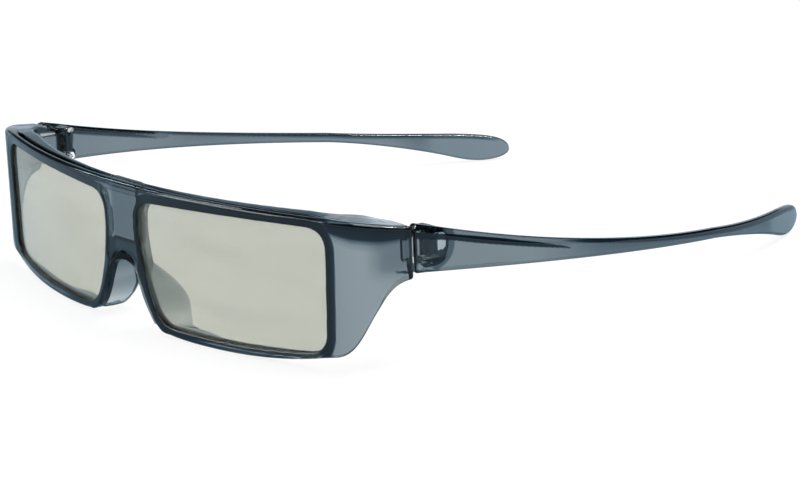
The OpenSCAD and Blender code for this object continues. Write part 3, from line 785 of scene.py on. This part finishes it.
upper_line = np.stack([along_temple(upper[:-3, 0]), upper[:-3, 1]], 1)
lower_line = np.stack([along_temple(lower[::-1, 0]), lower[::-1, 1]], 1)
head_outline = np.concatenate([
    [[-3, 22.3], [-3, 30.9]],
    bow((6, 30.9), (8.8, 30.8), (9.9, 29.5), (9.9, 27.5)),
    bow((9.9, 27.5), (9.9, 25), (8.6, 22.6), (5.6, 22.3)),
])

# Grid that the temple is shaped on: along its outer face, inside it, and up
grid_s = np.unique(np.round(np.concatenate([
    np.arange(-1, 14, 0.3), np.arange(14, 128, 0.7), np.arange(128, 160, 0.35)]), 3))
grid_d = np.concatenate([np.arange(-0.63, 4.2, 0.2), np.arange(4.2, 8, 0.35)])
grid_z = np.concatenate([np.arange(-0.7, 14, 0.25), np.arange(14, 34, 0.28)])
along, behind, height = grid_s[:, None, None], grid_d[None, :, None], grid_z[None, None, :]
from_side = distance_to(profile, along[:, 0], height[0])[:, None, :]
from_head = distance_to(head_outline, along[:, 0], height[0])[:, None, :]
plan_x, plan_y = (place[:, :, None] for place in on_temple(along[:, 0], grid_d[None, :]))
from_axis = np.hypot(plan_x - axis_x, plan_y - axis_y)

# Arm that thins towards the tip, with a bevel running out along the head's top
root_wall, wall_loss, arm_round, root_crisper, bevel_slope = 2.75, 1.6, 0.85, 0.45, 0.707
wall = root_wall - wall_loss * np.sin(first_angle + along / temple_radius)
arm_edge = arm_round - root_crisper * ramp(along, 3, 0)
arm = common(from_side, np.abs(behind - wall / 2) - wall / 2, arm_edge)
bevel_h = np.interp(along, [0, 40, 60, 80], [1.5, 1.2, 0.5, 0.0])
arm = shared(arm, bevel_slope * (height - line_at(upper_line, along) + bevel_h - behind))

# Hollow head with a cheek above and below the knuckle, drilled for the pin
cheek_r, cheek_low, cheek_high, pin_r = 2.8, 24.25, 29.55, 0.8
head_start, head_inset, head_round, head_fillet = 0.6, 0.4, 0.5, 0.4
hollow_start, hollow_wall, hollow_round = 1.5, 1.1, 0.2
cheek_plan = np.minimum(from_axis - cheek_r, shared(np.abs(plan_y - axis_y) - cheek_r, axis_x - plan_x))
head = shared(cheek_plan, head_start - behind)
head = common(head, shared(from_head, from_side + head_inset), head_round)
arm = joined(arm, head, head_fillet)
cheek = shared(cheek_plan, np.minimum(height - cheek_low, cheek_high - height))
hollow = shared(hollow_start - behind, from_head + hollow_wall, -cheek)
arm = common(arm, -hollow, hollow_round)
arm = shared(arm, pin_r - from_axis)
points, quads = skin((grid_s, grid_d, grid_z), arm.astype(np.float32))
x, y = on_temple(points[:, 0], points[:, 1])

# Tone of the temple: painted shade in millimetres, as on the front
along, behind, height = points[:, 0], points[:, 1], points[:, 2]
top, low = line_at(upper_line, along), line_at(lower_line, along)
outside = ramp(behind, 1.1, 0.7)

# Painted shade on the face, darker past the head and towards its top
tip_painted_shade, rise_painted_shade = 0.8, 1.6
face_tone = np.interp(along, [0, 30, 50, 100, 123, 127, 150], [0, 0, 1.0, 1.4, 1.4, 0.7, 0.7]) * outside
face_tone += tip_painted_shade * ramp(along, 110, 125) * (1 - outside)
rise = np.clip((height - low) / np.maximum(top - low, 1), 0, 1)
face_tone += rise_painted_shade * rise * ramp(along, 36, 60) * ramp(along, 128, 122) * outside

# Painted shade in a band along the top, and along the edge all round
top_painted_shade, rear_top_painted_shade, edge_painted_shade = 6, 2.5, 2.2
past_facet = ramp(along, 36, 48)
top_wide = np.interp(along, [40, 60, 100, 140], [0.5, 0.8, 1.3, 1.2])
top_tone = top_painted_shade * ramp(top - height, top_wide + 0.4, top_wide) * past_facet
top_tone = top_tone * ramp(along, 148, 140) * outside
rear_top_tone = rear_top_painted_shade * ramp(top - height, 1.1, 0.3) * past_facet * ramp(along, 135, 120)
edge_tone = edge_painted_shade * ramp(-distance_to(profile, along, height), 0.5, 0.15)

# Painted shade on the long dark facet that runs down from the head's top
facet_painted_shade, over_facet_painted_shade = 8, 0.8
facet_top = np.array([(0, 31.0), (9.2, 29.2), (15, 27.8), (21.5, 26.2),
                      (26.9, 24.7), (32.5, 23.2), (38.2, 21.4), (41.7, 20.15)])
facet_low = np.array([(0, 29.7), (9.1, 28.0), (15, 26.4), (21.5, 24.8),
                      (26.9, 23.5), (32.4, 22.2), (38.2, 20.9), (41.7, 20.1)])
band_top, band_low = line_at(facet_top, along), line_at(facet_low, along)
facet_tone = facet_painted_shade * ramp(band_top - height, -0.15, 0.15) * ramp(height - band_low, -0.1, 0.15)
facet_tone = facet_tone * outside * (along < 42)
over_facet_tone = over_facet_painted_shade * ramp(height, band_top, band_top + 0.3) * (along < 44)

# Painted shade on the floor and walls of the hollow in the head
hollow_painted_shade, wall_painted_shade = 0.8, 4
from_head = distance_to(head_outline, along, height)
on_hollow = ramp(np.abs(behind - hollow_start), 0.3, 0.1)
hollow_tone = hollow_painted_shade * ramp(from_head, -0.9, -1.2) * on_hollow * ramp(along, 5, 7)
wall_tone = wall_painted_shade * ramp(behind, 1.7, 2.1) * ramp(np.abs(from_head + 0.3), 1.4, 1.0)
wall_tone = wall_tone * ramp(along, 4.5, 6)
tone = reduce(np.maximum, [
    face_tone, top_tone, rear_top_tone, edge_tone, facet_tone, over_facet_tone, hollow_tone, wall_tone,
])
for hand, way in (("left", 1), ("right", -1)):
    temple = moulding(f"{hand}_temple_moulding", np.stack([way * x, y - half_depth, height], 1),
                      quads[:, ::way], tone)
    temple.data.materials.append(smoke)
    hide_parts(f"{hand}_temple")
    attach(temple, f"{hand}_arm")


# HINGE PINS
# A short length of drawn steel wire in each hinge. It is held in the temple's two cheeks and
# turns in the bore of the front's knuckle.
steel = streaked("pin_steel", (0.3, 0.31, 0.32))
steel.node_tree.nodes["Principled BSDF"].inputs["Metallic"].default_value = 1
mould_gloss(steel, scale=700, smooth=0.18, dull=0.36, unevenness=0.15)
for hand in ("left", "right"):
    pin = frame["nodes"][f"{hand}_hinge_pin"]
    pin.data.materials.clear()
    pin.data.materials.append(steel)


# STUDIO
# Pale floor under the open glasses, soft light from above and from the sides, and the
# camera at the photograph's viewing angle.
aim = Vector((0.0544, -0.0450, 0.0219))
azimuth, elevation, roll = (math.radians(a) for a in (51.10, 15.33, -2.42))
distance = 0.6681
back = Vector((math.sin(azimuth) * math.cos(elevation),
               -math.cos(azimuth) * math.cos(elevation), math.sin(elevation)))
camera = bpy.data.objects.new("camera", bpy.data.cameras.new("camera"))
bpy.context.scene.collection.objects.link(camera)
camera.data.lens, camera.data.sensor_width = 131.9, 36
camera.location = aim + back * distance
camera.rotation_mode = "QUATERNION"
camera.rotation_quaternion = (-back).to_track_quat("-Z", "Y") @ Quaternion((0, 0, 1), roll)
bpy.context.scene.camera = camera
bpy.context.scene.view_settings.view_transform = "Standard"


def mirrored_only(tree, path):
    """1 for rays off a glossy face, 0 for those that came through the plastic."""
    mirrored = tree.nodes.new("ShaderNodeMath")
    mirrored.operation, mirrored.use_clamp = "SUBTRACT", True
    tree.links.new(path.outputs["Is Glossy Ray"], mirrored.inputs[0])
    tree.links.new(path.outputs["Is Transmission Ray"], mirrored.inputs[1])
    return mirrored.outputs[0]


# Backdrop: white to the camera, a little darker through the plastic, bright only low down in its gloss
world = bpy.data.worlds.new("studio")
world.use_nodes = True
bpy.context.scene.world = world
tree = world.node_tree
where = tree.nodes.new("ShaderNodeTexCoord")
parts = tree.nodes.new("ShaderNodeSeparateXYZ")
fade = tree.nodes.new("ShaderNodeMapRange")
fade.interpolation_type = "SMOOTHSTEP"
fade.inputs["From Min"].default_value, fade.inputs["From Max"].default_value = 0.13, 0.32
fade.inputs["To Min"].default_value, fade.inputs["To Max"].default_value = 1.0, 0.05
tree.links.new(where.outputs["Generated"], parts.inputs[0])
tree.links.new(parts.outputs["Z"], fade.inputs["Value"])
sky = tree.nodes.new("ShaderNodeMixRGB")
sky.inputs["Color1"].default_value = (0.5, 0.85, 1, 1)
sky.inputs["Color2"].default_value = (0.75, 0.88, 1, 1)
tree.links.new(fade.outputs["Result"], sky.inputs["Fac"])
path = tree.nodes.new("ShaderNodeLightPath")
mirrored = mirrored_only(tree, path)
scatter_level, through_level, backdrop_level = 0.5, 0.8, 1.0
level = scatter_level
for seen, brightness in ((mirrored, fade.outputs["Result"]),
                         (path.outputs["Is Transmission Ray"], through_level),
                         (path.outputs["Is Camera Ray"], backdrop_level)):
    mix = tree.nodes.new("ShaderNodeMix")
    tree.links.new(seen, mix.inputs["Factor"])
    for socket, value in (("A", level), ("B", brightness)):
        if isinstance(value, float):
            mix.inputs[socket].default_value = value
        else:
            tree.links.new(value, mix.inputs[socket])
    level = mix.outputs["Result"]
tree.links.new(level, tree.nodes["Background"].inputs["Strength"])
tint = tree.nodes.new("ShaderNodeMixRGB")
tint.inputs["Color1"].default_value = (1, 1, 1, 1)
tree.links.new(mirrored, tint.inputs["Fac"])
tree.links.new(sky.outputs["Color"], tint.inputs["Color2"])
tree.links.new(tint.outputs["Color"], tree.nodes["Background"].inputs["Color"])

# Floor of pale paper: white to the camera and through the plastic, bluish in its gloss, with the shadow
floor_half, floor_drop, floor_glow = 3, 0.0002, 0.85
floor_mesh = bpy.data.meshes.new("floor")
sheet = bmesh.new()
bmesh.ops.create_grid(sheet, x_segments=1, y_segments=1, size=floor_half)
sheet.to_mesh(floor_mesh)
sheet.free()
floor = bpy.data.objects.new("floor", floor_mesh)
bpy.context.scene.collection.objects.link(floor)
floor.location.z = -floor_drop
paper = bpy.data.materials.new("floor_paper")
paper.use_nodes = True
tree = paper.node_tree
matt = tree.nodes["Principled BSDF"]
matt.inputs["Base Color"].default_value = (0.85, 0.85, 0.85, 1)
matt.inputs["Roughness"].default_value = 1
glow, mix = tree.nodes.new("ShaderNodeEmission"), tree.nodes.new("ShaderNodeMixShader")
path, share = tree.nodes.new("ShaderNodeLightPath"), tree.nodes.new("ShaderNodeMath")
straight, seen = tree.nodes.new("ShaderNodeMath"), tree.nodes.new("ShaderNodeMath")
straight.operation = seen.operation = "MAXIMUM"
tree.links.new(path.outputs["Is Camera Ray"], straight.inputs[0])
tree.links.new(path.outputs["Is Transmission Ray"], straight.inputs[1])
tree.links.new(straight.outputs[0], seen.inputs[0])
tree.links.new(path.outputs["Is Glossy Ray"], seen.inputs[1])
share.operation = "MULTIPLY"
share.inputs[1].default_value = floor_glow
tree.links.new(seen.outputs[0], share.inputs[0])
tree.links.new(share.outputs[0], mix.inputs["Fac"])
dim = tree.nodes.new("ShaderNodeMixRGB")
dim.inputs["Color1"].default_value = (1, 1, 1, 1)
dim.inputs["Color2"].default_value = (0.2, 0.4, 0.55, 1)
tree.links.new(mirrored_only(tree, path), dim.inputs["Fac"])
tree.links.new(dim.outputs["Color"], glow.inputs["Color"])
tree.links.new(matt.outputs[0], mix.inputs[1])
tree.links.new(glow.outputs[0], mix.inputs[2])
tree.links.new(mix.outputs[0], tree.nodes["Material Output"].inputs["Surface"])
floor_mesh.materials.append(paper)


def softbox(name, place, size, power, colour=(1, 1, 1)):
    """Rectangular lamp at a place, turned towards the glasses."""
    lamp = bpy.data.lights.new(name, "AREA")
    lamp.shape, lamp.size, lamp.size_y, lamp.energy = "RECTANGLE", size[0], size[1], power
    lamp.color = colour
    box = bpy.data.objects.new(name, lamp)
    bpy.context.scene.collection.objects.link(box)
    box.location = place
    box.rotation_mode = "QUATERNION"
    box.rotation_quaternion = (-Vector(place)).to_track_quat("-Z", "Y")


softbox("top_softbox", (0.1, 0.1, 0.8), (0.9, 0.5), 6)
softbox("edge_strip", (0.33, 0.36, 0.85), (0.5, 0.04), 4)
softbox("brow_strip", (-0.75, -0.26, 0.61), (0.1, 0.5), 1.5, (0.65, 0.85, 1))
softbox("side_softbox", (-0.5, -0.8, 0.5), (0.5, 0.5), 4)
